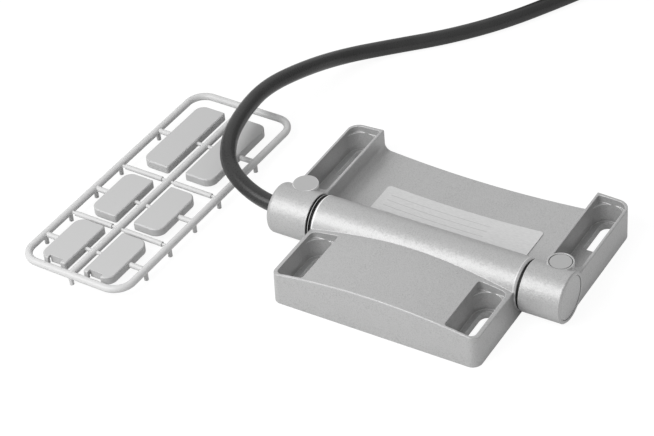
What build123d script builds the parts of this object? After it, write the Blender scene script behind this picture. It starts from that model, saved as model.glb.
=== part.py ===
from build123d import *
from math import cos, degrees, pi, radians, sin, sqrt, tan
import os

# Safety hinge switch: a die-cast hinge whose barrel holds a safety switch.
# Millimetres. X runs along the hinge axis towards the capped end, the cable leaves at -X.
# +Y points to the rear leaf, +Z up. Z = 0 is the plane that both leaves are screwed down on,
# Y = 0 is under the hinge axis and X = 0 is the middle of the front leaf.

# Hinge barrel
barrel_d = 20.0
barrel_r = barrel_d / 2
axis_z = barrel_r
barrel_half = 42.9
barrel_bore_r = 7.5
cable_side_gap = 2.0
cap_side_gap = 1.3
knuckle_left_out = 1.3
knuckle_right_out = 1.1
knuckle_edge_r = 1.8
running = 0.03
slip = 0.02
seat_gap = 0.3

# Front leaf, which carries the barrel and turns with the guard
front_depth = 39.0
front_draft = 2.0
crown_z = 16.73
front_side_z = 12.85
front_corner_r = 3.8
front_side_wall = 2.1
front_end_wall = 1.4
front_pocket_w = 11.6
front_pocket_len = 26.8
front_pocket_r = 2.4
front_slot_len = 24.3
core_top_z = 11.8
core_wall = 2.4
core_rib = 2.0
core_corner_r = 1.0

# Rear leaf, which carries the two outer knuckles, the cable and the switch
arm_gap = 2.3
arm_w = 14.3
cable_side_shift = 1.7
rear_depth = 54.9
rim_z = 13.4
arm_inner_z = 14.1
plate_t = 2.4
plate_sag_r = 420.0
cove_r = 3.2
rear_corner_r = 5.0
rear_wall = 1.1
rear_pocket_start = 11.9
rear_pocket_r = 3.0
rear_slot_len = 18.3
trough_gap = 0.6
trough_y = 6.0

# What the pockets of both leaves share
floor_t = 3.0
step_z = 11.0
slot_w = 7.0
slot_end_wall = 1.0
edge_r = 0.5
barrel_bevel = 0.8
pocket_corner_r = 1.2

# Lock pins in the two flat-topped bosses
boss_in = 6.0
boss_y = 6.4
boss_r = 5.0
boss_top = 19.7
pin_r = 2.0
pin_foot_z = 4.2
pin_len = 12.0
pin_edge = 0.3
boss_cap_t = 1.1
cap_stem_len = 1.4
right_cap_r = 4.3
right_cap_t = 1.3
right_cap_gap = 0.15
cap_edge = 0.25

# Axles, bushes and seals
axle_r = 5.5
axle_reach = 11.9
axle_bore_r = 3.4
bush_len = 9.0
bush_setback = 0.6
seal_r = 9.5
seal_groove = 0.45
seal_groove_w = 0.4
seal_groove_at = 0.55
gland_len = 3.4
end_wall = 2.1
entry_r = 3.62
disc_r = 8.6
disc_t = 1.6
disc_recess = 0.25

# Switch inside the barrel
cam_low_r = 6.15
plunger_travel = 0.8
cam_len = 24.0
tip_gap = 0.05
carrier_r = 5.7
block_w = 6.4
block_len = 12.0
block_pitch = 13.0
block_floor = -2.6
block_roof = 4.0
block_edge = 0.3
plunger_r = 1.0
collar_r = 1.6
collar_t = 0.8
collar_high = 2.0
tip_r = 0.8
chamber_r = 1.8
chamber_low = -2.0
chamber_high = 2.2
spring_wire = 0.35
spring_turns = 4
key_w = 2.0
key_h = 1.5
key_len = 14.0
board_t = 1.0
board_len = 7.0
board_z = -0.6
board_w = 5.3

# Type plate, bare
label_left_gap = 10.7
label_right_gap = 12.9
label_near = 16.0
label_far = 36.0
label_t = 0.3
label_gap = 0.02
label_corner_r = 1.5

# Cable with four cores
cable_d = 6.5
cable_len = 3000.0
core_d = 1.4
core_pitch = 1.6
core_free = 24.0
sheath_bare = 13.0
lead_pitch = 1.45
link_r = 0.3
link_y = 0.9
link_channel_w = 3.2
ferrule_len = 8.0
ferrule_r = 0.75
core_lift = 0.1
coil_mid_r = 5.85 * cable_d
coil_columns = 3
coil_layers = 4
coil_edge_r = 2.6
coil_x = -54.1
coil_y = 235.1
end_notch_from = 150.0
end_notch_deg = 62.0
bend_share = 0.45

# Six pocket covers, still on the frame that they were moulded with
sprue_x = -114.3
sprue_y = -4.3
sprue_turn = -1.7
sprue_half_w = 23.7
sprue_bar_r = 1.5
sprue_bar_z = 4.6
sprue_corner_r = 7.5
cross_bar_r = 1.05
neck_r = 0.6
neck_len = 1.6
gate_r = 1.1
inner_gate_r = 0.8
foot_r = 0.9
end_gap_near = 2.5
notched_row_gap = 2.8
short_row_gap_near = 3.7
short_row_gap_far = 3.9
long_row_gap = 5.3
end_gap_far = 8.6
cover_x = 10.4
cover_w = 12.6
long_cover_len = 41.0
short_cover_len = 25.6
cover_t = 3.4
cover_skin = 1.2
cover_low_z = 3.1
cover_outer_r = 4.2
cover_inner_r = 1.0
cover_bevel = 0.4
cover_notch_w = 6.0
cover_notch_d = 2.4
notch_x = 9.4

# Places worked out from the sizes above
front_half = barrel_half
arm_inner = barrel_half + arm_gap
rear_half = arm_inner + arm_w
arm_left = -arm_inner - cable_side_shift
rear_left = -rear_half - cable_side_shift
left_face = -barrel_half - cable_side_gap
right_face = barrel_half + cap_side_gap
left_end = rear_left - knuckle_left_out
right_end = rear_half + knuckle_right_out
boss_x = rear_half - boss_in
axle_end = barrel_half - axle_reach
label_left = label_left_gap - arm_inner
label_right = arm_inner - label_right_gap
sheath_end = -axle_end - sheath_bare
axle_seat_left = left_end + end_wall + gland_len
axle_seat_right = right_end - disc_t - disc_recess
cam_high_r = cam_low_r + plunger_travel
cable_r = cable_d / 2
gland_start = left_end + end_wall
rear_pocket_in = arm_inner + rear_wall
rear_pocket_out = rear_half - rear_wall
rear_pocket_end = rear_depth - rear_wall
front_pocket_out = front_half - front_side_wall
front_pocket_in = front_pocket_out - front_pocket_w
front_pocket_start = -front_depth + front_end_wall
cover_top_z = cover_low_z + cover_t
notched_end_y = end_gap_near + short_cover_len
short_bar_at = notched_end_y + notched_row_gap
short_end_y = short_bar_at + short_row_gap_near + short_cover_len
long_bar_at = short_end_y + short_row_gap_far
long_end_y = long_bar_at + long_row_gap + long_cover_len
sprue_half_len = (long_end_y + end_gap_far) / 2
notched_row_y = notched_end_y - short_cover_len / 2 - sprue_half_len
short_bar_y = short_bar_at - sprue_half_len
short_row_y = short_end_y - short_cover_len / 2 - sprue_half_len
long_bar_y = long_bar_at - sprue_half_len
long_row_y = long_end_y - long_cover_len / 2 - sprue_half_len
cable_route = [
    (left_end + 0.1, 0.0, axis_z),
    (-76.5, 0.0, 12.0),
    (-91.0, 7.5, 15.8),
    (-99.3, 21.0, 17.2),
    (-102.6, 40.5, 17.2),
    (-102.2, 58.5, 17.2),
    (-97.8, 78.5, 14.0),
    (-92.5, 101.0, 7.0),
    (-80.8, 120.5, 3.25),
    (-62.5, 137.1, 3.25),
    (-46.4, 156.8, 3.25),
    (-33.5, 178.9, 3.25),
    (-20.6, 203.3, 3.25),
]


def save(name, shape):
    export_step(shape, f"parts/{name}.step")


def rod(x0, x1, r, y=0.0, z=axis_z):
    """A round bar along X."""
    return extrude(Plane.YZ.offset(x0) * Pos(y, z) * Circle(r), amount=x1 - x0)


def post(x, y, z0, z1, r):
    """A round bar along Z."""
    return extrude(Pos(x, y, z0) * Circle(r), amount=z1 - z0)


def block(x0, x1, y0, y1, z0, z1):
    """A box between two corners."""
    return extrude(Pos((x0 + x1) / 2, (y0 + y1) / 2, z0) * Rectangle(x1 - x0, y1 - y0), amount=z1 - z0)


def along_y(face, y0, y1):
    """A face drawn in X and Z, drawn out from y0 to y1."""
    return extrude(Plane.XZ.offset(-y0) * face, amount=y0 - y1)


def side(shape, sign):
    """The shape as drawn on the +X side, or its mirror image on the -X side."""
    return shape if sign > 0 else mirror(shape, Plane.YZ)


def arm_side(shape, sign):
    """As side, but on the rear leaf, whose arm on the cable side stands a little further out."""
    return shape if sign > 0 else Pos(-cable_side_shift, 0, 0) * mirror(shape, Plane.YZ)


def plan(x0, x1, y0, y1, radii, z0, z1, draft=0):
    """An upright block with its own radius at each corner: (x0 y0), (x1 y0), (x1 y1), (x0 y1)."""
    face = Pos((x0 + x1) / 2, (y0 + y1) / 2) * Rectangle(x1 - x0, y1 - y0)
    for (x, y), r in zip(((x0, y0), (x1, y0), (x1, y1), (x0, y1)), radii):
        if r > 0:
            face = fillet(face.vertices().sort_by_distance((x, y, 0))[0], r)
    return extrude(Pos(0, 0, z0) * face, amount=z1 - z0, taper=draft)


def arc_height(x, top, radius):
    """Height at x of a hollow that is top high in the middle and curves up with this radius."""
    return top + radius - sqrt(radius**2 - x**2)


def screw_pocket(x0, x1, y0, y1, radii, top):
    """A screw pocket: square above the step, with a rounded end at y1 below it."""
    mid, half = (x0 + x1) / 2, (x1 - x0) / 2
    upper = plan(x0, x1, y0, y1, radii, step_z, top)
    lower = plan(x0, x1, y0, y1 - half, (radii[0], radii[1], 0, 0), floor_t, step_z)
    return upper + lower + post(mid, y1 - half, floor_t, step_z, half)


def rear_leaf_profile():
    """The rear leaf seen along Y: two tall arms with a hollowed plate between them."""
    right_low = arc_height(arm_inner, plate_t, plate_sag_r)
    left_low = arc_height(arm_left, plate_t, plate_sag_r)
    walls = Polyline(
        (arm_left, left_low),
        (arm_left, arm_inner_z),
        (rear_left, rim_z),
        (rear_left, 0),
        (rear_half, 0),
        (rear_half, rim_z),
        (arm_inner, arm_inner_z),
        (arm_inner, right_low),
    )
    face = make_face([walls, ThreePointArc((arm_inner, right_low), (0, plate_t), (arm_left, left_low))])
    for x, z in ((arm_left, left_low), (arm_inner, right_low)):
        face = fillet(face.vertices().sort_by_distance((x, z, 0))[0], cove_r)
    for x, z in ((arm_left, arm_inner_z), (arm_inner, arm_inner_z), (rear_left, rim_z), (rear_half, rim_z)):
        face = fillet(face.vertices().sort_by_distance((x, z, 0))[0], edge_r)
    return face


def rear_leaf():
    """The leaf that is screwed to the frame, with both outer knuckles."""
    leaf = along_y(rear_leaf_profile(), 0, rear_depth)
    corners = (0, 0, rear_corner_r, rear_corner_r)
    leaf &= plan(rear_left, rear_half, -barrel_r, rear_depth, corners, 0, 2 * barrel_r)
    leaf -= rod(arm_left, arm_inner, barrel_r + trough_gap)
    leaf -= block(arm_left, arm_inner, -barrel_r, trough_y, -1, 2 * barrel_r)
    left = rod(left_end, left_face, barrel_r)
    left = fillet(left.edges().sort_by(Axis.X)[0], knuckle_edge_r)
    right = rod(right_face, right_end, barrel_r)
    right = chamfer(right.edges().sort_by(Axis.X)[-1], edge_r)
    leaf += left + right
    for sign in (-1, 1):
        leaf += side(post(boss_x, boss_y, floor_t, boss_top, boss_r), sign)
        leaf -= side(post(boss_x, boss_y, boss_top, boss_top + barrel_r, boss_r + slip), sign)
    radii = (pocket_corner_r, rear_pocket_r, rear_corner_r - rear_wall, pocket_corner_r)
    start, end = rear_pocket_start, rear_pocket_end
    pocket = screw_pocket(rear_pocket_in, rear_pocket_out, start, end, radii, boss_top)
    for sign in (-1, 1):
        leaf -= arm_side(pocket, sign)
        leaf -= arm_side(rear_slot(), sign)
        leaf -= side(post(boss_x, boss_y, pin_foot_z - slip, boss_top, pin_r + slip), sign)
    leaf -= rod(gland_start, left_face, axle_r + slip) + rod(left_end, gland_start, entry_r)
    leaf -= rod(right_face, axle_seat_right, axle_r + slip)
    leaf -= rod(axle_seat_right, right_end, disc_r + slip)
    leaf -= post(-boss_x, boss_y, boss_top - boss_cap_t, boss_top, boss_r + slip)
    leaf -= post(boss_x, boss_y, boss_top - right_cap_t, boss_top, right_cap_r + right_cap_gap)
    return leaf


def rear_slot():
    """The long hole for an M6 screw: square towards the hinge, round at the far end."""
    mid = (rear_pocket_in + rear_pocket_out) / 2
    end = rear_pocket_end - slot_end_wall
    straight = block(mid - slot_w / 2, mid + slot_w / 2, end - rear_slot_len, end - slot_w / 2, -1, floor_t)
    return straight + post(mid, end - slot_w / 2, -1, floor_t, slot_w / 2)


def front_slot():
    """The long hole for an M6 screw in the front leaf, round at both ends."""
    mid = (front_pocket_in + front_pocket_out) / 2
    first = front_pocket_start + slot_end_wall + slot_w / 2
    last = first + front_slot_len - slot_w
    slot = block(mid - slot_w / 2, mid + slot_w / 2, first, last, -1, floor_t)
    return slot + post(mid, first, -1, floor_t, slot_w / 2) + post(mid, last, -1, floor_t, slot_w / 2)


def front_leaf():
    """The leaf that is screwed to the guard, with the barrel between the knuckles."""
    half = front_half
    base = Polyline((-half, front_side_z), (-half, 0), (half, 0), (half, front_side_z))
    crown = ThreePointArc((half, front_side_z), (0, crown_z), (-half, front_side_z))
    leaf = along_y(make_face([base, crown]), -front_depth, 0)
    corners = (front_corner_r, front_corner_r, 0, 0)
    leaf &= plan(-half, half, -front_depth, barrel_r, corners, 0, 2 * barrel_r, front_draft)
    rim = leaf.edges().filter_by(lambda e: e.center().Z > front_side_z - 1 and e.center().Y < -1)
    leaf = fillet(rim, edge_r)
    barrel = rod(-barrel_half, barrel_half, barrel_r)
    leaf += chamfer(barrel.edges().filter_by(GeomType.CIRCLE), barrel_bevel)
    radii = (pocket_corner_r, front_corner_r - front_end_wall, front_pocket_r, pocket_corner_r)
    end = front_pocket_start + front_pocket_len
    pocket = screw_pocket(front_pocket_in, front_pocket_out, front_pocket_start, end, radii, 2 * barrel_r)
    for sign in (-1, 1):
        leaf -= side(pocket, sign)
        leaf -= side(front_slot(), sign)
    leaf -= core_bays()
    leaf -= rod(-barrel_half, barrel_half, barrel_bore_r)
    return leaf - key_block(slip)


def core_bays():
    """Three cored bays under the crown, which keep the casting's walls even."""
    half = front_pocket_in - core_wall
    width = (2 * half - 2 * core_rib) / 3
    bays = Part()
    for i in range(3):
        x = -half + i * (width + core_rib)
        near, far = -front_depth + core_wall, -barrel_r - core_wall
        bays += plan(x, x + width, near, far, [core_corner_r] * 4, -1, core_top_z)
    return bays


def key_block(grow):
    """The key at the bottom of the bore, half in the barrel and half in the sleeve, or its keyway."""
    long, wide, high = key_len / 2 + grow, key_w / 2 + grow, key_h / 2 + grow
    middle = axis_z - barrel_bore_r
    return block(-long, long, -wide, wide, middle - high, middle + high)


def type_plate():
    """A thin bare plate that follows the hollow of the rear leaf."""
    def height(x, lift):
        return arc_height(x, plate_t, plate_sag_r) + lift
    mid = (label_left + label_right) / 2
    low = ThreePointArc(*[(x, height(x, label_gap)) for x in (label_left, mid, label_right)])
    high = ThreePointArc(*[(x, height(x, label_gap + label_t)) for x in (label_left, mid, label_right)])
    left = Line(low @ 0, high @ 0)
    right = Line(low @ 1, high @ 1)
    plate = along_y(make_face([low, high, left, right]), label_near, label_far)
    return plate & plan(label_left, label_right, label_near, label_far, [label_corner_r] * 4, 0, barrel_r)


def end_disc():
    """The flat disc pressed into the capped knuckle, which leaves a fine groove round it."""
    disc = rod(axle_seat_right, axle_seat_right + disc_t, disc_r)
    return chamfer(disc.edges().sort_by(Axis.X)[-1], disc_recess)


def left_boss_cap():
    """A cap that covers the whole boss on the cable side, with a stem in the pin hole."""
    seat = boss_top - boss_cap_t
    cap = post(-boss_x, boss_y, seat, boss_top, boss_r)
    cap = fillet(cap.edges().sort_by(Axis.Z)[-1], cap_edge)
    return cap + post(-boss_x, boss_y, seat - cap_stem_len, seat, pin_r)


def right_boss_cap():
    """A smaller cap that sits in a counterbore of its boss, so a fine ring shows round it."""
    cap = post(boss_x, boss_y, boss_top - right_cap_t, boss_top, right_cap_r)
    return chamfer(cap.edges().sort_by(Axis.Z)[-1], cap_edge)


def lock_pin(sign):
    """A plain dowel that crosses the side of the axle and locks it in its knuckle."""
    pin = post(boss_x, boss_y, pin_foot_z, pin_foot_z + pin_len, pin_r)
    return side(chamfer(pin.edges().filter_by(GeomType.CIRCLE), pin_edge), sign)


def pin_notch(sign):
    """The round notch across the axle that the lock pin fills."""
    return side(post(boss_x, boss_y, 0, 2 * barrel_r, pin_r + slip), sign)


def hollow_axle():
    """The cable-side axle: the cores pass through it and the carrier stands on its end."""
    axle = rod(axle_seat_left, -axle_end, axle_r)
    axle = chamfer(axle.edges().sort_by(Axis.X)[-1], edge_r)
    return axle - rod(axle_seat_left, -axle_end, axle_bore_r) - pin_notch(-1)


def cap_side_axle():
    """The solid axle in the capped knuckle."""
    axle = rod(axle_end, axle_seat_right - slip, axle_r)
    axle = chamfer(axle.edges().filter_by(GeomType.CIRCLE), edge_r)
    return axle - pin_notch(1)


def bush(sign):
    """A plain bearing bush pressed into the mouth of the barrel."""
    x1 = barrel_half - bush_setback
    ring = rod(x1 - bush_len, x1, barrel_bore_r - slip) - rod(x1 - bush_len, x1, axle_r + running)
    return side(ring, sign)


def seal_ring(x0, x1):
    """A rubber ring on the axle, with two fine grooves that leave three lips."""
    mid, half = (x0 + x1) / 2, (x1 - x0) / 2
    ring = rod(x0, x1, seal_r)
    for sign in (-1, 1):
        groove = mid + sign * half * seal_groove_at
        width = half * seal_groove_w / 2
        ring -= rod(groove - width, groove + width, seal_r)
        ring += rod(groove - width, groove + width, seal_r - seal_groove)
    return ring - rod(x0, x1, axle_r + slip)


def cam_radius(angle):
    """Radius of the cam: it falls evenly over half a turn and rises evenly over the other."""
    return cam_high_r - plunger_travel * abs(angle) / pi


def cam_sleeve():
    """The sleeve keyed into the barrel. Its bore is an even spiral, so the plungers sink with the angle."""
    def bore_half(sign):
        angles = [sign * pi * i / 8 for i in range(9)]
        return Spline(*[(-cam_radius(a) * sin(a), axis_z + cam_radius(a) * cos(a)) for a in angles])
    opening = make_face([bore_half(-1), bore_half(1)])
    sleeve = rod(-cam_len / 2, cam_len / 2, barrel_bore_r - slip)
    sleeve -= extrude(Plane.YZ.offset(-cam_len / 2) * opening, amount=cam_len)
    return sleeve - key_block(slip)


def switch_carrier():
    """The moulded bar between the two axles, open on top for the switch blocks."""
    bar = rod(-axle_end, axle_end, carrier_r)
    bar -= block(
        -block_pitch, block_pitch, -block_w / 2 - slip, block_w / 2 + slip, axis_z + block_floor, 2 * axis_z
    )
    bar -= rod(-axle_end, -axle_end + board_len, axle_bore_r) & block(
        -axle_end, axle_end, -barrel_r, barrel_r, axis_z + board_z, 2 * axis_z
    )
    half = link_channel_w / 2
    bar -= block(
        -axle_end + board_len, -block_pitch, -half, half, axis_z + board_z + board_t, 2 * axis_z
    )
    return bar


def plunger_x(index):
    return (index - 0.5) * block_pitch


def contact_block(index):
    """A small snap-action switch with a stepped chamber for its plunger and spring."""
    x = plunger_x(index)
    half = block_len / 2
    body = block(x - half, x + half, -block_w / 2, block_w / 2, axis_z + block_floor, axis_z + block_roof)
    body = chamfer(body.edges().filter_by(Axis.X), block_edge)
    body -= post(x, 0, axis_z + chamber_low, axis_z + chamber_high, chamber_r)
    return body - post(x, 0, axis_z + chamber_high, axis_z + block_roof, plunger_r + running)


def carrier_cover():
    """The lens-shaped lid that holds both blocks down and guides the plungers."""
    lid = rod(-block_pitch + slip, block_pitch - slip, carrier_r)
    lid &= block(
        -block_pitch, block_pitch, -block_w / 2, block_w / 2, axis_z + block_roof, 2 * axis_z
    )
    for index in (0, 1):
        lid -= post(plunger_x(index), 0, axis_z, 2 * axis_z, plunger_r + running)
    return lid


def contact_plunger(index):
    """A plunger with a round tip that follows the cam and a collar that keeps it in."""
    x = plunger_x(index)
    top = axis_z + cam_high_r - tip_gap
    stem = post(x, 0, axis_z + collar_high - collar_t, top, plunger_r)
    stem = fillet(stem.edges().sort_by(Axis.Z)[-1], tip_r)
    return stem + post(x, 0, axis_z + collar_high - collar_t, axis_z + collar_high, collar_r)


def plunger_spring(index):
    """The coil spring that pushes the plunger against the cam."""
    low = axis_z + chamber_low + spring_wire / 2 + slip
    high = axis_z + collar_high - collar_t - spring_wire / 2 - slip
    coil_r = collar_r - spring_wire / 2 - slip
    path = Helix((high - low) / spring_turns, high - low, coil_r)
    wire = sweep(Plane(origin=path @ 0, z_dir=path % 0) * Circle(spring_wire / 2), path=path)
    return Pos(plunger_x(index), 0, low) * wire


def terminal_board():
    """The small board on which the cable's cores are soldered."""
    z = axis_z + board_z
    return block(-axle_end, -axle_end + board_len, -board_w / 2, board_w / 2, z, z + board_t)


def cable_gland():
    """The rubber sleeve that seals the cable behind the end wall."""
    return rod(gland_start, axle_seat_left, axle_r) - rod(gland_start, axle_seat_left, cable_r + slip)


def core_places():
    """Where the four cores lie round the middle of the cable."""
    return [(y * core_pitch / 2, z * core_pitch / 2) for y in (-1, 1) for z in (-1, 1)]


def cable_inner_end():
    """The cable inside the knuckle, up to where its sheath is cut."""
    return rod(cable_route[0][0], sheath_end, cable_r)


def lead_cores():
    """The four cores side by side, from the cut sheath to the board that they are soldered on."""
    z = axis_z + board_z + board_t + core_d / 2 + slip
    return [
        rod(sheath_end, -axle_end + board_len / 2, core_d / 2, (i - 1.5) * lead_pitch, z) for i in range(4)
    ]


def link_wires():
    """Two stiff wires from the board to the first contact block."""
    z = axis_z + board_z + board_t + link_r + slip
    stop = plunger_x(0) - block_len / 2
    return [rod(-axle_end + board_len / 2 + 1, stop, link_r, sign * link_y, z) for sign in (-1, 1)]


def route_radii(points):
    """For each corner, as large an arc as a fixed share of its shorter run allows."""
    radii = []
    for a, b, c in zip(points, points[1:], points[2:]):
        before, after = Vector(*b) - Vector(*a), Vector(*c) - Vector(*b)
        half_turn = radians(before.get_angle(after)) / 2
        radii.append(bend_share * min(before.length, after.length) / tan(half_turn))
    return radii


def cable_tube():
    """The cable from the knuckle over the cover frame and along the floor to its coil."""
    radii = route_radii(cable_route)
    print("cable bend radii", [round(r, 1) for r in radii])
    path = FilletPolyline(*cable_route, radius=radii)
    tube = sweep(Plane(origin=path @ 0, z_dir=path % 0) * Circle(cable_r), path=path)
    turns = (cable_len - path.length) / (2 * pi * coil_mid_r)
    print("cable tube", round(path.length, 1), "mm long, which leaves", round(turns, 1), "turns for the coil")
    print("volume against section times length", round(tube.volume / (pi * cable_r**2 * path.length), 4))
    return tube


def coil_ring(r0, r1, z0, z1):
    return Pos(coil_x, coil_y) * (post(0, 0, z0, z1, r1) - post(0, 0, z0, z1, r0))


def cable_coil():
    """The rest of the cable as one neat round coil, with room on top for its bare end."""
    half = coil_columns * cable_d / 2
    top = coil_layers * cable_d
    ring = coil_ring(coil_mid_r - half, coil_mid_r + half, 0, top)
    ring = fillet(ring.edges().filter_by(GeomType.CIRCLE), coil_edge_r)
    notch = coil_ring(coil_mid_r + half - cable_d, coil_mid_r + half + 1, top - cable_d, top + 1)
    return ring - (notch & coil_sector(end_notch_from, end_notch_from + end_notch_deg))


def coil_sector(start, stop):
    """A wedge round the coil's middle between two angles in degrees."""
    reach = 2 * coil_mid_r
    corners = [(reach * cos(radians(a)), reach * sin(radians(a))) for a in (start, (start + stop) / 2, stop)]
    wedge = make_face(Polyline((0, 0), *corners, close=True))
    return extrude(Pos(coil_x, coil_y) * wedge, amount=reach)


def coil_turn(radius, z, start, length, r):
    """A thin round bar bent along a turn of the coil."""
    stop = start + degrees(length / radius)
    path = Pos(coil_x, coil_y, z) * CenterArc((0, 0), radius, start, stop - start)
    return sweep(Plane(origin=path @ 0, z_dir=path % 0) * Circle(r), path=path)


def end_core_places():
    """Turn radius and height of each bared core, just above the turn of cable below them."""
    outer = coil_mid_r + coil_columns * cable_d / 2 - cable_r
    low = (coil_layers - 1) * cable_d + core_lift + core_d / 2 + core_pitch / 2
    return [(outer + y, low + z) for y, z in core_places()]


def cable_core_ends():
    """The four bared cores, which lie along the coil's top turn."""
    return [coil_turn(r, z, end_notch_from, core_free, core_d / 2) for r, z in end_core_places()]


def core_ferrules():
    """Crimped ferrules on the ends of the cores."""
    return [
        coil_turn(r, z, end_notch_from + degrees(core_free / r), ferrule_len, ferrule_r)
        for r, z in end_core_places()
    ]


def on_frame(shape):
    """Puts a piece drawn about the cover frame's own centre where the frame lies."""
    return Location((sprue_x, sprue_y, 0), (0, 0, sprue_turn)) * shape


def cross_bar(y):
    """Two thin runners from the middle rail to the outer rails, each with a neck at both ends."""
    bars = Part()
    start = sprue_bar_r + neck_len
    for sign in (-1, 1):
        bars += side(rod(0, sprue_half_w, neck_r, y, sprue_bar_z), sign)
        bars += side(rod(start, sprue_half_w - start, cross_bar_r, y, sprue_bar_z), sign)
    return bars


def sprue_frame():
    """The moulded frame: a rounded ring, a middle rail, runners, gates and feet, all in one piece."""
    ring = Pos(0, 0, sprue_bar_z) * RectangleRounded(2 * sprue_half_w, 2 * sprue_half_len, sprue_corner_r)
    path = ring.wires()[0]
    frame = sweep(Plane(origin=path @ 0, z_dir=path % 0) * Circle(sprue_bar_r), path=path)
    frame += along_y(Pos(0, sprue_bar_z) * Circle(sprue_bar_r), -sprue_half_len, sprue_half_len)
    for y in (long_bar_y, short_bar_y):
        frame += cross_bar(y)
    inner, outer = cover_x - cover_w / 2, cover_x + cover_w / 2
    for y in (long_row_y, short_row_y, notched_row_y):
        for sign in (-1, 1):
            frame += side(rod(0, inner, inner_gate_r, y, sprue_bar_z), sign)
            frame += side(rod(outer, sprue_half_w, gate_r, y, sprue_bar_z), sign)
    for y in (long_row_y, long_bar_y, short_row_y, short_bar_y, notched_row_y):
        for x in (-sprue_half_w, sprue_half_w):
            frame += post(x, y, 0, sprue_bar_z, foot_r)
    for y in (-sprue_half_len, sprue_half_len):
        frame += post(0, y, 0, sprue_bar_z, foot_r)
    return on_frame(frame)


def pocket_cover(row_y, length, sign, notched):
    """A snap-in cover for a screw pocket: a bevelled skin with a skirt under it."""
    x0, x1 = cover_x - cover_w / 2, cover_x + cover_w / 2
    y0, y1 = row_y - length / 2, row_y + length / 2
    radii = (cover_inner_r, cover_outer_r, cover_outer_r, cover_inner_r)
    cover = plan(x0, x1, y0, y1, radii, cover_low_z, cover_top_z)
    cover = chamfer(cover.faces().sort_by(Axis.Z)[-1].edges(), cover_bevel)
    x2, x3, y2, y3 = x0 + cover_skin, x1 - cover_skin, y0 + cover_skin, y1 - cover_skin
    inside = (0, cover_outer_r - cover_skin, cover_outer_r - cover_skin, 0)
    cover -= plan(x2, x3, y2, y3, inside, 0, cover_top_z - cover_skin)
    if notched:
        left, right = notch_x - cover_notch_w / 2, notch_x + cover_notch_w / 2
        back = y0 + cover_notch_d
        cover -= block(left, right, y0 - 1, back, 0, 2 * cover_top_z)
        cover += block(left, right, back - cover_skin / 2, back + cover_skin / 2, cover_low_z, cover_top_z)
    return on_frame(side(cover, sign))


os.makedirs("parts", exist_ok=True)

save("rear_leaf", rear_leaf())
save("front_leaf", front_leaf())
save("type_plate", type_plate())
save("knuckle_end_disc", end_disc())
save("left_boss_cap", left_boss_cap())
save("right_boss_cap", right_boss_cap())
save("left_lock_pin", lock_pin(-1))
save("right_lock_pin", lock_pin(1))
save("left_seal_ring", seal_ring(left_face, -barrel_half - seat_gap))
save("right_seal_ring", seal_ring(barrel_half + seat_gap, right_face))
save("left_bush", bush(-1))
save("right_bush", bush(1))
save("hollow_axle", hollow_axle())
save("cap_side_axle", cap_side_axle())
save("switch_carrier", switch_carrier())
save("carrier_cover", carrier_cover())
save("cam_sleeve", cam_sleeve())
save("cam_key", key_block(0))
for number in (1, 2):
    save(f"contact_block_{number}", contact_block(number - 1))
    save(f"contact_plunger_{number}", contact_plunger(number - 1))
    save(f"plunger_spring_{number}", plunger_spring(number - 1))
save("terminal_board", terminal_board())
save("lead_cores", Compound(children=lead_cores()))
save("link_wires", Compound(children=link_wires()))
save("cable_gland", cable_gland())
save("cable_inner_end", cable_inner_end())
save("cable_tube", cable_tube())
save("cable_coil", cable_coil())
save("cable_core_ends", Compound(children=cable_core_ends()))
save("core_ferrules", Compound(children=core_ferrules()))
save("sprue_frame", sprue_frame())
for name, row_y, length, notched in (
    ("long_cover", long_row_y, long_cover_len, False),
    ("short_cover", short_row_y, short_cover_len, False),
    ("notched_cover", notched_row_y, short_cover_len, True),
):
    save(f"{name}_left", pocket_cover(row_y, length, -1, notched))
    save(f"{name}_right", pocket_cover(row_y, length, 1, notched))
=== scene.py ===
# %% [markdown]
# # A die-cast safety hinge with its cable and its pocket covers
#
# The hinge is a heavy silver casting: two leaves turn about a round barrel, and the barrel
# hides a switch. Its shapes come ready-made from the CAD model, so this lesson is about the
# rest: the camera, the cable, two springs that get shorter, the finish of every surface and
# the light.
# Lengths are in metres, with Z up, and the leaves lie on Z = 0.

# %% Load the model
import math
import bpy
import numpy as np
from mathutils import Matrix


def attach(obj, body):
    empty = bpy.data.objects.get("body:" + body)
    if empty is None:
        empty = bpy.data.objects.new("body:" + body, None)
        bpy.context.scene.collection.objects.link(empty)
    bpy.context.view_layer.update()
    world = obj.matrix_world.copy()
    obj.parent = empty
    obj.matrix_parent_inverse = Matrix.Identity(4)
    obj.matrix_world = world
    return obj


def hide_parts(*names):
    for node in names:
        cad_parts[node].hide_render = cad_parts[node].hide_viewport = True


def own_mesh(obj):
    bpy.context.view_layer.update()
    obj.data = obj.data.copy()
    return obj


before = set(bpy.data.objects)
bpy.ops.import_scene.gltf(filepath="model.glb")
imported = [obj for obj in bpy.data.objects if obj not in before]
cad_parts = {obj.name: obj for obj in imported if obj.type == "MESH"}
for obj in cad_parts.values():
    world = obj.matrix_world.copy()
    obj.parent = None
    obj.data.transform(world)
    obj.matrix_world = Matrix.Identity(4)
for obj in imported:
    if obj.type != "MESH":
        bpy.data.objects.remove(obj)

MM = 0.001
scene = bpy.context.scene
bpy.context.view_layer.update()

# %% [markdown]
# ## The camera
#
# The photographer stood in front of the hinge, above it and to its right, with a long lens:
# parallel edges hardly run together. The direction and the distance were worked out from the
# straight edges of the leaves, so each part lands where it does in the photograph. Writing the
# three axes of the camera straight into its matrix keeps that answer exact.

# %% Place the camera
CAMERA_PLACE = (0.3269, -0.5534, 0.5404)
CAMERA_RIGHT = np.array((0.8600, 0.5056, -0.0692))
CAMERA_BACK = np.array((0.4332, -0.6517, 0.6227))
LENS_MM = 123.86
SENSOR_MM = 36.0
FAR_CLIP = 20.0


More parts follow.
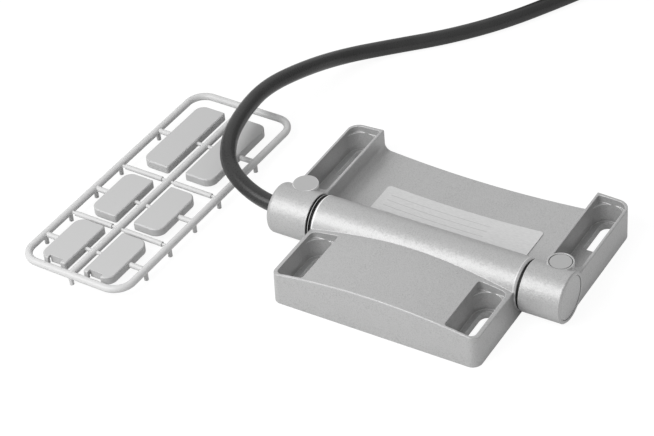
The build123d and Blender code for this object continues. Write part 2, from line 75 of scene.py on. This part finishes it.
def camera_matrix(place, right, back):
    """Columns: unit vectors to the right, up and back, where up is back crossed with right."""
    back = back / np.linalg.norm(back)
    up = np.cross(back, right)
    up = up / np.linalg.norm(up)
    right = np.cross(up, back)
    rows = np.column_stack((right, up, back, place))
    return Matrix([list(map(float, row)) for row in rows] + [[0, 0, 0, 1]])


camera_data = bpy.data.cameras.new("photo_camera")
camera_data.lens = LENS_MM
camera_data.sensor_width = SENSOR_MM
camera_data.clip_end = FAR_CLIP
camera = bpy.data.objects.new("photo_camera", camera_data)
camera.matrix_world = camera_matrix(CAMERA_PLACE, CAMERA_RIGHT, CAMERA_BACK)
scene.collection.objects.link(camera)
scene.camera = camera
print("camera at", CAMERA_PLACE, "with a lens of", LENS_MM, "mm")

# %% [markdown]
# ## The cable's path
#
# The cable is stiff: it leaves the end of the barrel straight, lifts in one tight bend, passes
# over the covers' frame and comes down to the floor behind the hinge. There its spare length
# lies in a round coil of three columns and four layers. A spline of degree two is drawn by so
# few control points that its bends stay as smooth as a real cable's.
#
# A turn of such a spline runs a little inside its control points. With n points a turn its
# radius is 0.75 + 0.25 cos(360° / n) times theirs, so the points stand that much further out.

# %% Work out the cable's points
CABLE_R = 3.25 * MM
# The route from the knuckle to the coil, in millimetres
ROUTE = [
    (-62.5, 0.0, 10.0),
    (-71.5, 0.0, 10.2),
    (-89.5, 7.2, 13.8),
    (-97.6, 20.0, 17.0),
    (-102.1, 39.0, 17.2),
    (-102.6, 57.2, 17.2),
    (-97.3, 78.0, 14.4),
    (-93.0, 101.4, 7.0),
    (-80.8, 120.5, 3.25),
    (-62.5, 137.1, 3.25),
    (-46.4, 156.8, 3.25),
    (-33.5, 178.9, 3.25),
    (-21.6, 201.4, 3.25),
]
# The coil, in millimetres: each turn has its column, counted outwards, and its layer, counted up
COIL_CENTRE = (-54.1, 235.1)
COIL_MIDDLE_R = 38.025
COIL_PITCH = 6.5
FLOOR_HEIGHT = 3.25
COLUMN_OF_TURN = np.array([2, 1, 0, 0, 1, 2, 2, 1, 0, 0, 1, 2, 2])
LAYER_OF_TURN = np.array([0, 0, 0, 1, 1, 1, 2, 2, 2, 3, 3, 3, 3])
TURN_POINTS = 14
COIL_START = math.radians(-20.0)
COIL_STOP = math.radians(150.0 + 11 * 360.0)
# Shares of a turn: where the cable starts to shift a column, where to climb, how long each takes
SHIFT_FROM, CLIMB_FROM, MOVE_LONG = 0.70, 0.86, 0.14


def ease(x):
    """0 below 0, 1 above 1, and a smooth step between them."""
    x = np.clip(x, 0.0, 1.0)
    return x * x * (3.0 - 2.0 * x)


def coil_points(start, stop):
    """Points along the coil. Each turn keeps its column and layer, then eases into the next."""
    count = int((stop - start) / (2 * math.pi) * TURN_POINTS)
    angle = np.linspace(start, stop, count)
    turn = (angle - start) / (2 * math.pi)
    place = np.floor(turn).astype(int)
    rest = turn - place

    def eased(table, move_from):
        step = table[place + 1] - table[place]
        return table[place] + step * ease((rest - move_from) / MOVE_LONG)

    swell = 1.0 / (0.75 + 0.25 * math.cos(2 * math.pi / TURN_POINTS))
    radius = (COIL_MIDDLE_R + (eased(COLUMN_OF_TURN, SHIFT_FROM) - 1) * COIL_PITCH) * swell
    x = COIL_CENTRE[0] + radius * np.cos(angle)
    y = COIL_CENTRE[1] + radius * np.sin(angle)
    return np.column_stack((x, y, FLOOR_HEIGHT + COIL_PITCH * eased(LAYER_OF_TURN, CLIMB_FROM)))


coil = coil_points(COIL_START, COIL_STOP)
cable_points = np.vstack((np.array(ROUTE), coil)) * MM
print("cable points", len(cable_points), "first of the coil", coil[0].round(1))

# %% [markdown]
# ## The cable as a curve
#
# A curve with a round bevel is the natural way to make a cable: its line stays editable and its
# section stays round. The points carry the cable's radius and the bevel is one metre deep, which
# gives the same tube as a thin bevel on points of radius one, but keeps the curve's box tight.

# %% Make the cable
cable_curve = bpy.data.curves.new("cable", "CURVE")
cable_curve.dimensions = "3D"
spline = cable_curve.splines.new("NURBS")
spline.points.add(len(cable_points) - 1)
weights = np.ones(len(cable_points))
spline.points.foreach_set("co", np.column_stack((cable_points, weights)).ravel())
spline.points.foreach_set("radius", CABLE_R * weights)
spline.order_u = 3
spline.use_endpoint_u = True
spline.resolution_u = 8
cable_curve.bevel_depth = 1.0
cable_curve.bevel_resolution = 7
cable_curve.use_fill_caps = True
cable = bpy.data.objects.new("cable", cable_curve)
scene.collection.objects.link(cable)
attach(cable, "frame_side")
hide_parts("cable_tube", "cable_coil")

# %% [markdown]
# ## The springs under the plungers
#
# Inside the barrel a small coil spring pushes each plunger of the switch against the cam. When
# the guard opens, the plunger sinks and the spring gets shorter, so a stiff copy would be cut by
# the plunger.
#
# The ring stands square across the wire. Its first axis points away from the middle of the
# coil, and its second is the wire's direction crossed with the first.

# %% Coil two springs
SPRING_X = (-6.5 * MM, 6.5 * MM)
SPRING_FOOT = 8.02 * MM
SPRING_TOP = 11.18 * MM
SPRING_WIRE_R = 0.175 * MM
SPRING_COIL_R = 1.405 * MM
SPRING_TURNS = 4


def spring_surface(x, steps=144, sides=12):
    """
    Helix point: x + R cos t, R sin t, and a height that grows evenly with t.
    Surface point: helix point + r (cos s times outward + sin s times across).
    """
    t = np.linspace(0.0, 2 * math.pi * SPRING_TURNS, steps)[:, None, None]
    s = np.linspace(0.0, 2 * math.pi, sides, endpoint=False)[None, :, None]
    low, high = SPRING_FOOT + SPRING_WIRE_R, SPRING_TOP - SPRING_WIRE_R
    climb = (high - low) / (2 * math.pi * SPRING_TURNS)
    outward = np.concatenate((np.cos(t), np.sin(t), 0 * t), axis=2)
    sideways = np.concatenate((-np.sin(t), np.cos(t), 0 * t), axis=2)
    forward = SPRING_COIL_R * sideways + np.array((0.0, 0.0, climb))
    across = np.cross(forward / np.linalg.norm(forward, axis=2, keepdims=True), outward)
    line = np.array((x, 0.0, low)) + SPRING_COIL_R * outward + np.array((0.0, 0.0, climb)) * t
    points = line + SPRING_WIRE_R * (np.cos(s) * outward + np.sin(s) * across)
    at = np.arange(steps * sides).reshape(steps, sides)
    turned = np.roll(at, -1, axis=1)
    walls = np.stack((at[:-1], turned[:-1], turned[1:], at[1:]), axis=2).reshape(-1, 4)
    return points.reshape(-1, 3), walls.tolist() + [at[0, ::-1].tolist(), at[-1].tolist()]


def coil_spring(number, x):
    """One spring in the place of its CAD node. It keeps its foot."""
    mesh = bpy.data.meshes.new(f"coil_spring_{number}")
    points, faces = spring_surface(x)
    mesh.from_pydata(points.tolist(), [], faces)
    spring = bpy.data.objects.new(mesh.name, mesh)
    scene.collection.objects.link(spring)
    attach(spring, "frame_side")
    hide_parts(f"plunger_spring_{number}")
    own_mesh(spring)
    return spring


springs = [coil_spring(number, x) for number, x in enumerate(SPRING_X, 1)]
print("springs", [len(spring.data.polygons) for spring in springs], "faces")

# %% [markdown]
# ## Building materials from nodes
#
# Each finish is a small graph of nodes on the Principled shader. A few helpers keep the graphs
# short: one adds a node with its settings, one reads the object's own coordinates, one turns a
# noise into a narrow range, and one bends the surface by a height.

# %% Node helpers
def node(tree, kind, **settings):
    """Adds a node. Names with a leading in_ set an input, the others set a property."""
    made = tree.nodes.new(kind)
    for key, value in settings.items():
        if key.startswith("in_"):
            made.inputs[key[3:].replace("_", " ")].default_value = value
        else:
            setattr(made, key, value)
    return made


def place_of(tree, scale=(1.0, 1.0, 1.0), shift=(0.0, 0.0, 0.0)):
    """The object's own coordinates, stretched by scale and then moved by shift."""
    source = node(tree, "ShaderNodeTexCoord")
    mapping = node(tree, "ShaderNodeMapping", in_Scale=scale, in_Location=shift)
    tree.links.new(source.outputs["Object"], mapping.inputs["Vector"])
    return mapping.outputs["Vector"]


def along(tree, axis):
    """The object's own coordinate along X, Y or Z."""
    parts = node(tree, "ShaderNodeSeparateXYZ")
    tree.links.new(place_of(tree), parts.inputs[0])
    return parts.outputs[axis]


def noise(tree, place, size, detail=3.0, rough=0.5):
    """Noise whose grains are about size metres across. Its value lies round 0.5."""
    made = node(tree, "ShaderNodeTexNoise", in_Scale=1.0 / size, in_Detail=detail, in_Roughness=rough)
    tree.links.new(place, made.inputs["Vector"])
    return made.outputs["Fac"]


def between(tree, value, low, high, start=0.3, stop=0.7):
    """Value from start to stop, laid out from low to high and held at both ends."""
    made = node(tree, "ShaderNodeMapRange")
    for name, number in (("From Min", start), ("From Max", stop), ("To Min", low), ("To Max", high)):
        made.inputs[name].default_value = number
    tree.links.new(value, made.inputs["Value"])
    return made.outputs["Result"]


def maths(tree, kind, a, b):
    """One arithmetic step on two values, each a link or a number."""
    made = node(tree, "ShaderNodeMath", operation=kind)
    for socket, value in zip(made.inputs, (a, b)):
        if isinstance(value, (int, float)):
            socket.default_value = value
        else:
            tree.links.new(value, socket)
    return made.outputs[0]


def vector_maths(tree, kind, first, second=None, **settings):
    """One step on whole vectors, each a link or three numbers."""
    made = node(tree, "ShaderNodeVectorMath", operation=kind, **settings)
    for socket, value in zip(made.inputs, (first, second)):
        if isinstance(value, tuple):
            socket.default_value = value
        elif value is not None:
            tree.links.new(value, socket)
    return made.outputs["Value" if kind in ("DOT_PRODUCT", "LENGTH") else "Vector"]


def band(tree, value, start, stop, soft):
    """1 from start to stop and 0 outside, with slopes that are soft wide."""
    up = between(tree, value, 0.0, 1.0, start - soft, start)
    down = between(tree, value, 1.0, 0.0, stop, stop + soft)
    return maths(tree, "MULTIPLY", up, down)


def blend_colours(tree, share, first, second):
    """Colour that goes from first at share 0 to second at share 1."""
    made = node(tree, "ShaderNodeMix", data_type="RGBA")
    for socket, value in ((made.inputs[0], share), (made.inputs[6], first), (made.inputs[7], second)):
        if isinstance(value, (tuple, float)):
            socket.default_value = value
        else:
            tree.links.new(value, socket)
    return made.outputs[2]


def bumped(tree, height, depth, normal=None):
    """The surface bent by a height from 0 to 1, which is depth metres deep."""
    made = node(tree, "ShaderNodeBump", in_Distance=depth, in_Strength=1.0)
    tree.links.new(height, made.inputs["Height"])
    if normal is not None:
        tree.links.new(normal, made.inputs["Normal"])
    return made.outputs["Normal"]


def new_material(name, **principled):
    """A material with its Principled shader, whose plain sockets take the given numbers."""
    material = bpy.data.materials.new(name)
    material.use_nodes = True
    tree = material.node_tree
    shader = tree.nodes["Principled BSDF"]
    for key, value in principled.items():
        shader.inputs[key.replace("_", " ")].default_value = value
    return material, tree, shader


def grey(level):
    return (level, level, level, 1.0)


print("a middle grey reads", grey(0.5))

# %% [markdown]
# ## The silver casting
#
# The leaves are cast and then coated with a silver paint that carries fine metal flakes. Each
# flake lies a little askew, so the coat looks like satin from afar and glitters finely close up.
# Cells of a Voronoi texture stand for the flakes: the random colour of a cell tips the normal
# one way or the other. The edges get a lighter colour, a painted highlight for the thin bright
# lines of light along them. The edge mask comes from the Bevel node, which gives the normal that
# a slightly rounded edge would have: where that differs from the true normal, there is an edge.

# %% Silver coat
def askew(tree, place, normal, size, tilt):
    """The normal plus a random vector for each cell: up to tilt / 2 along every axis."""
    cells = node(tree, "ShaderNodeTexVoronoi", in_Scale=1.0 / size)
    tree.links.new(place, cells.inputs["Vector"])
    push = vector_maths(tree, "SUBTRACT", cells.outputs["Color"], (0.5, 0.5, 0.5))
    push = vector_maths(tree, "SCALE", push, in_Scale=tilt)
    return vector_maths(tree, "NORMALIZE", vector_maths(tree, "ADD", normal, push))


def edges_of(tree, radius):
    """The rounded normal, and a mask of the edges: where it turns away from the true normal."""
    rounded = node(tree, "ShaderNodeBevel", samples=6, in_Radius=radius).outputs["Normal"]
    true = node(tree, "ShaderNodeNewGeometry").outputs["Normal"]
    likeness = vector_maths(tree, "DOT_PRODUCT", rounded, true)
    return rounded, between(tree, likeness, 1.0, 0.0, 0.80, 0.995)


BARE_METAL = grey(0.95)
BARREL_AXIS_Z = 10.0 * MM
BEVEL_FROM, BEVEL_TO = 41.85 * MM, 43.2 * MM
BEVEL_R_FROM, BEVEL_R_TO = 9.1 * MM, 10.03 * MM


def barrel_ends(tree):
    """
    Mask of the two turned bevels of the barrel: near its ends, and out at its full radius.
    The one on the cable side is bright, and the other one is painted half as bright: painted shade on
    the end away from the lamp.
    """
    out = maths(tree, "ABSOLUTE", along(tree, "X"), 0.0)
    flat = place_of(tree, (0.0, 1.0, 1.0), (0.0, 0.0, -BARREL_AXIS_Z))
    from_axis = vector_maths(tree, "LENGTH", flat)
    ends = band(tree, out, BEVEL_FROM, BEVEL_TO, 0.05 * MM)
    outside = band(tree, from_axis, BEVEL_R_FROM, BEVEL_R_TO, 0.03 * MM)
    bevels = maths(tree, "MULTIPLY", ends, outside)
    # Painted shade: the bevel away from the cable gets only half the share of bare-metal white.
    bright = between(tree, along(tree, "X"), 1.0, 0.5, -1.0 * MM, 1.0 * MM)
    return maths(tree, "MULTIPLY", bevels, bright)


FLAKE = 0.34 * MM
FLAKE_TILT = 0.20


def silver_coat(name, level, rough, cut_ends=False):
    """Grey metal paint with askew flakes and a painted highlight on its edges. Cut ends are bare
    metal, the one away from the cable with painted shade.
    """
    material, tree, shader = new_material(name, Metallic=0.38, IOR=1.5)
    place = place_of(tree)
    fine = noise(tree, place, FLAKE, 2.0, 0.6)
    broad = noise(tree, place, 18.0 * MM, 3.0)
    rounded, edge = edges_of(tree, 0.42 * MM)
    speckle, cloud = between(tree, fine, 0.73, 1.23), between(tree, broad, 0.97, 1.03)
    body = blend_colours(tree, maths(tree, "MULTIPLY", speckle, cloud), grey(0.0), grey(level))
    # Painted highlight: the edges are mixed toward this lighter grey.
    edge_highlight_grey = grey(min(level * 1.7, 0.92))
    colour = blend_colours(tree, maths(tree, "MULTIPLY", edge, 0.8), body, edge_highlight_grey)
    if cut_ends:
        colour = blend_colours(tree, barrel_ends(tree), colour, BARE_METAL)
    tree.links.new(colour, shader.inputs["Base Color"])
    tree.links.new(between(tree, fine, rough - 0.05, rough + 0.06), shader.inputs["Roughness"])
    tree.links.new(askew(tree, place, rounded, FLAKE, FLAKE_TILT), shader.inputs["Normal"])
    return material


casting = silver_coat("silver_casting", 0.48, 0.50)
barrel_casting = silver_coat("silver_casting_with_cut_ends", 0.48, 0.50, cut_ends=True)
disc_metal = silver_coat("silver_disc", 0.52, 0.48)
print("silver coats", casting.name, barrel_casting.name, disc_metal.name)

# %% [markdown]
# ## Foil, caps and covers
#
# The type plate is a thin satin foil with nothing written on it: only fine ruled lines, as on a
# blank form. The boss caps and the pocket covers are moulded in grey plastic, duller than the
# casting, with the faint unevenness that a mould leaves.

# %% Foil with ruled lines
ROW_START, ROW_STEP = 18.4 * MM, 1.6 * MM
RULED_X = (-31.0 * MM, 12.0 * MM)
RULED_Y = (18.0 * MM, 34.0 * MM)


def ruled_foil():
    """Pale satin foil, with a line where the nearest row is closer than its half width."""
    material, tree, shader = new_material("type_plate_foil", Metallic=0.35, IOR=1.5)
    row = maths(tree, "SUBTRACT", along(tree, "Y"), ROW_START)
    line = between(tree, maths(tree, "PINGPONG", row, ROW_STEP), 1.0, 0.0, 0.07 * MM, 0.13 * MM)
    across = band(tree, along(tree, "X"), *RULED_X, 0.1 * MM)
    inside = maths(tree, "MULTIPLY", across, band(tree, along(tree, "Y"), *RULED_Y, 0.1 * MM))
    fine = noise(tree, place_of(tree, (0.25, 1.0, 1.0)), 0.4 * MM, 2.0)
    foil = blend_colours(tree, between(tree, fine, 0.0, 1.0), grey(0.58), grey(0.66))
    ink = maths(tree, "MULTIPLY", maths(tree, "MULTIPLY", line, inside), 0.55)
    tree.links.new(blend_colours(tree, ink, foil, grey(0.25)), shader.inputs["Base Color"])
    tree.links.new(between(tree, fine, 0.34, 0.42), shader.inputs["Roughness"])
    return material


def moulded(name, level, rough, mottle=0.04, edge_painted_highlight=0.0, rim=None):
    """
    Moulded plastic of one colour, with a faint mottle and a fine grain. Its edges can get a painted
    highlight.
    rim is a round cap's centre, the radius where its rim begins, and the grey painted beyond it:
    light for a painted highlight, dark for painted shade.
    """
    material, tree, shader = new_material(name, Metallic=0.0, IOR=1.48)
    place = place_of(tree)
    broad = noise(tree, place, 6.0 * MM, 3.0)
    fine = noise(tree, place, 0.3 * MM, 2.0)
    tone = between(tree, broad, 1.0 - mottle, 1.0 + mottle)
    colour = level if isinstance(level, tuple) else (level, level, level)
    dark = tuple(0.9 * c for c in colour) + (1.0,)
    light = tuple(min(1.06 * c, 1.0) for c in colour) + (1.0,)
    share = maths(tree, "MULTIPLY", tone, between(tree, fine, 0.45, 0.55))
    skin = blend_colours(tree, share, dark, light)
    normal = None
    if edge_painted_highlight:
        # Painted highlight: the edges are mixed toward a light grey.
        normal, edge = edges_of(tree, 0.3 * MM)
        skin = blend_colours(tree, maths(tree, "MULTIPLY", edge, edge_painted_highlight), skin, grey(0.9))
    # Painted rim: a ring of one grey, which is a painted highlight or painted shade.
    if rim:
        x, y, radius, rim_painted_grey = rim
        flat = place_of(tree, (1.0, 1.0, 0.0), (-x, -y, 0.0))
        away = vector_maths(tree, "LENGTH", flat)
        share = between(tree, away, 0.0, 0.85, radius, radius + 0.15 * MM)
        skin = blend_colours(tree, share, skin, grey(rim_painted_grey))
    tree.links.new(skin, shader.inputs["Base Color"])
    tree.links.new(between(tree, fine, rough - 0.04, rough + 0.04), shader.inputs["Roughness"])
    tree.links.new(bumped(tree, fine, 0.012 * MM, normal), shader.inputs["Normal"])
    return material


foil = ruled_foil()
# Painted highlight: the left cap's rim is painted a light grey.
CAP_RIM_PAINTED_HIGHLIGHT = (-53.5 * MM, 6.4 * MM, 4.68 * MM, 0.80)
# Painted shade: a near-black ring in the narrow gap round the right cap.
CAP_GAP_PAINTED_SHADE = (53.5 * MM, 6.4 * MM, 4.05 * MM, 0.03)
left_cap_plastic = moulded("left_cap_plastic", 0.41, 0.5, rim=CAP_RIM_PAINTED_HIGHLIGHT)
right_cap_plastic = moulded("right_cap_plastic", 0.40, 0.5, rim=CAP_GAP_PAINTED_SHADE)
cover_plastic = moulded("cover_plastic", 0.50, 0.42, 0.03, edge_painted_highlight=0.35)
runner_plastic = moulded("runner_plastic", 0.60, 0.42, 0.03)
block_plastic = moulded("block_plastic", (0.020, 0.020, 0.022), 0.5)
plunger_plastic = moulded("plunger_plastic", (0.50, 0.05, 0.04), 0.35)
bush_plastic = moulded("bush_plastic", (0.72, 0.70, 0.62), 0.4)
board_laminate = moulded("board_laminate", (0.03, 0.17, 0.08), 0.35)
core_plastic = moulded("core_insulation", (0.06, 0.07, 0.30), 0.35)
print("foil and plastics", foil.name, cover_plastic.name, runner_plastic.name)

# %% [markdown]
# ## Rubber, sheath and steel
#
# The sheath of the cable is a dark satin plastic: its broad highlight is soft, and a fine grain
# breaks it up. The seal rings are dull black rubber. The axles and pins are ground steel, whose
# grinding marks run round them, and the springs are bright wire.

# %% Dark and bright finishes
def rubber(name, level, rough, pale_band=None):
    """
    Dark rubber or sheath, with a fine matt grain and small changes of gloss.
    The last argument gives the place along X and the half width of a pale grey band painted round it
    between two rubber lips.
    """
    material, tree, shader = new_material(name, Metallic=0.0, IOR=1.5, Specular_IOR_Level=0.30)
    place = place_of(tree)
    fine = noise(tree, place, 0.5 * MM, 3.0)
    broad = noise(tree, place, 12.0 * MM, 2.0)
    share = maths(tree, "MULTIPLY", between(tree, broad, 0.4, 1.0), between(tree, fine, 0.7, 1.0))
    skin = blend_colours(tree, share, grey(level * 0.75), grey(level * 1.2))
    if pale_band:
        middle, half = pale_band
        ring = band(tree, along(tree, "X"), middle - half, middle + half, 0.04 * MM)
        skin = blend_colours(tree, ring, skin, grey(0.5))
    tree.links.new(skin, shader.inputs["Base Color"])
    tree.links.new(between(tree, fine, rough - 0.05, rough + 0.05), shader.inputs["Roughness"])
    tree.links.new(bumped(tree, fine, 0.025 * MM), shader.inputs["Normal"])
    return material


def ground_steel(name, colour, rough, stretch=(40.0, 1.0, 1.0)):
    """Bare metal whose fine lines come from a noise that is squeezed along one axis."""
    material, tree, shader = new_material(name, Metallic=1.0)
    lines = noise(tree, place_of(tree, stretch), 4.0 * MM, 3.0, 0.7)
    dark = tuple(0.82 * c for c in colour) + (1.0,)
    metal = blend_colours(tree, between(tree, lines, 0.0, 1.0), dark, colour + (1.0,))
    tree.links.new(metal, shader.inputs["Base Color"])
    tree.links.new(between(tree, lines, rough - 0.06, rough + 0.08), shader.inputs["Roughness"])
    tree.links.new(bumped(tree, lines, 0.004 * MM), shader.inputs["Normal"])
    return material


sheath = rubber("cable_sheath", 0.034, 0.30)
gland_rubber = rubber("gland_rubber", 0.012, 0.5)
left_seal = rubber("left_seal", 0.01, 0.5, pale_band=(-44.05 * MM, 0.07 * MM))
axle_steel = ground_steel("axle_steel", (0.60, 0.60, 0.62), 0.28)
spring_wire = ground_steel("spring_wire", (0.62, 0.60, 0.57), 0.22, (1.0, 1.0, 30.0))
copper = ground_steel("copper_wire", (0.86, 0.50, 0.32), 0.25)
ferrule_tin = ground_steel("ferrule_tin", (0.78, 0.78, 0.78), 0.24, (1.0, 1.0, 12.0))
print("materials so far", len(bpy.data.materials))

# %% [markdown]
# ## Each piece gets its finish
#
# A table from piece to finish is easy to read and to change. A CAD piece keeps its shape, so
# only the material in its slots is exchanged.

# %% Hand out the finishes
FINISHES = {
    "rear_leaf": casting,
    "front_leaf": barrel_casting,
    "knuckle_end_disc": disc_metal,
    "type_plate": foil,
    "left_boss_cap": left_cap_plastic,
    "right_boss_cap": right_cap_plastic,
    "left_lock_pin": axle_steel,
    "right_lock_pin": axle_steel,
    "left_seal_ring": left_seal,
    "right_seal_ring": gland_rubber,
    "left_bush": bush_plastic,
    "right_bush": bush_plastic,
    "hollow_axle": axle_steel,
    "cap_side_axle": axle_steel,
    "switch_carrier": block_plastic,
    "carrier_cover": block_plastic,
    "cam_sleeve": bush_plastic,
    "cam_key": axle_steel,
    "contact_block_1": block_plastic,
    "contact_block_2": block_plastic,
    "contact_plunger_1": plunger_plastic,
    "contact_plunger_2": plunger_plastic,
    "terminal_board": board_laminate,
    "lead_cores": core_plastic,
    "link_wires": copper,
    "cable_gland": gland_rubber,
    "cable_inner_end": sheath,
    "cable_core_ends": core_plastic,
    "core_ferrules": ferrule_tin,
    "sprue_frame": runner_plastic,
    "long_cover_left": cover_plastic,
    "long_cover_right": cover_plastic,
    "short_cover_left": cover_plastic,
    "short_cover_right": cover_plastic,
    "notched_cover_left": cover_plastic,
    "notched_cover_right": cover_plastic,
}


def finish_piece(piece, material):
    """Puts one material in every slot of a piece."""
    if not piece.material_slots:
        piece.data.materials.append(material)
    for place in piece.material_slots:
        place.material = material


for name, material in FINISHES.items():
    finish_piece(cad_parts[name], material)
finish_piece(cable, sheath)
for spring in springs:
    finish_piece(spring, spring_wire)
print("finished pieces", len(FINISHES) + 1 + len(springs))

# %% [markdown]
# ## A white studio
#
# In the photograph the hinge lies on pure white with hardly a shadow. The floor looks white to
# the camera and to the reflections, and is a plain pale floor for the light. One soft lamp
# stands in front on the left, about as high as it is far, and lights the front faces. A large
# weak panel behind the hinge draws the broad highlight on the barrel, and the world fills in.

# %% Floor, lamps and world
FLOOR_HALF = 3.0
FLOOR_DROP = 0.05 * MM
SHADE_REACH = 8.0 * MM
GLOW_SHARE = 0.8


def white_to_the_eye(tree, surface, strength):
    """A surface that the camera sees glow, and reflections too where no piece is near."""
    path = node(tree, "ShaderNodeLightPath")
    shade = node(tree, "ShaderNodeAmbientOcclusion", samples=4, in_Distance=SHADE_REACH)
    glossy, through = path.outputs["Is Glossy Ray"], path.outputs["Is Transmission Ray"]
    mirrored = maths(tree, "MULTIPLY", maths(tree, "MAXIMUM", glossy, through), shade.outputs["AO"])
    seen = maths(tree, "MAXIMUM", path.outputs["Is Camera Ray"], mirrored)
    glow = node(tree, "ShaderNodeEmission", in_Color=grey(1.0), in_Strength=strength)
    mix = node(tree, "ShaderNodeMixShader")
    tree.links.new(maths(tree, "MULTIPLY", seen, GLOW_SHARE), mix.inputs[0])
    tree.links.new(surface, mix.inputs[1])
    tree.links.new(glow.outputs[0], mix.inputs[2])
    return mix.outputs[0]


def studio_floor():
    """One large square just under the leaves."""
    mesh = bpy.data.meshes.new("studio_floor")
    corners = FLOOR_HALF * np.array([(-1, -1), (1, -1), (1, 1), (-1, 1)])
    points = np.column_stack((corners, np.full(4, -FLOOR_DROP)))
    mesh.from_pydata(points.tolist(), [], [(0, 1, 2, 3)])
    floor = bpy.data.objects.new("studio_floor", mesh)
    scene.collection.objects.link(floor)
    material, tree, shader = new_material("floor_white", Roughness=0.9, Base_Color=grey(0.6))
    output = tree.nodes["Material Output"]
    tree.links.new(white_to_the_eye(tree, shader.outputs[0], 1.15), output.inputs["Surface"])
    mesh.materials.append(material)


def soft_lamp(name, place, size, watts):
    """A square lamp that looks at the hinge."""
    data = bpy.data.lights.new(name, "AREA")
    data.size = size
    data.energy = watts
    lamp = bpy.data.objects.new(name, data)
    spot = np.array(place, float)
    back = spot / np.linalg.norm(spot)
    side = np.cross((0.0, 1.0, 0.0) if abs(back[2]) > 0.9 else (0.0, 0.0, 1.0), back)
    side = side / np.linalg.norm(side)
    lamp.matrix_world = camera_matrix(place, side, back)
    scene.collection.objects.link(lamp)


studio_floor()
soft_lamp("key_lamp", (-0.30, -0.54, 0.60), 0.58, 6.5)
soft_lamp("back_panel", (-0.65, 0.98, 0.93), 1.6, 4.0)

world = bpy.data.worlds.new("studio")
world.use_nodes = True
background = world.node_tree.nodes["Background"]
background.inputs["Color"].default_value = grey(1.0)
background.inputs["Strength"].default_value = 0.45
scene.world = world
scene.view_settings.view_transform = "Standard"
print("lamps", [light.name for light in bpy.data.lights])

# %% [markdown]
# ## The last step

# The finished model may not outgrow the CAD model.

# %% Update the scene
bpy.context.view_layer.update()
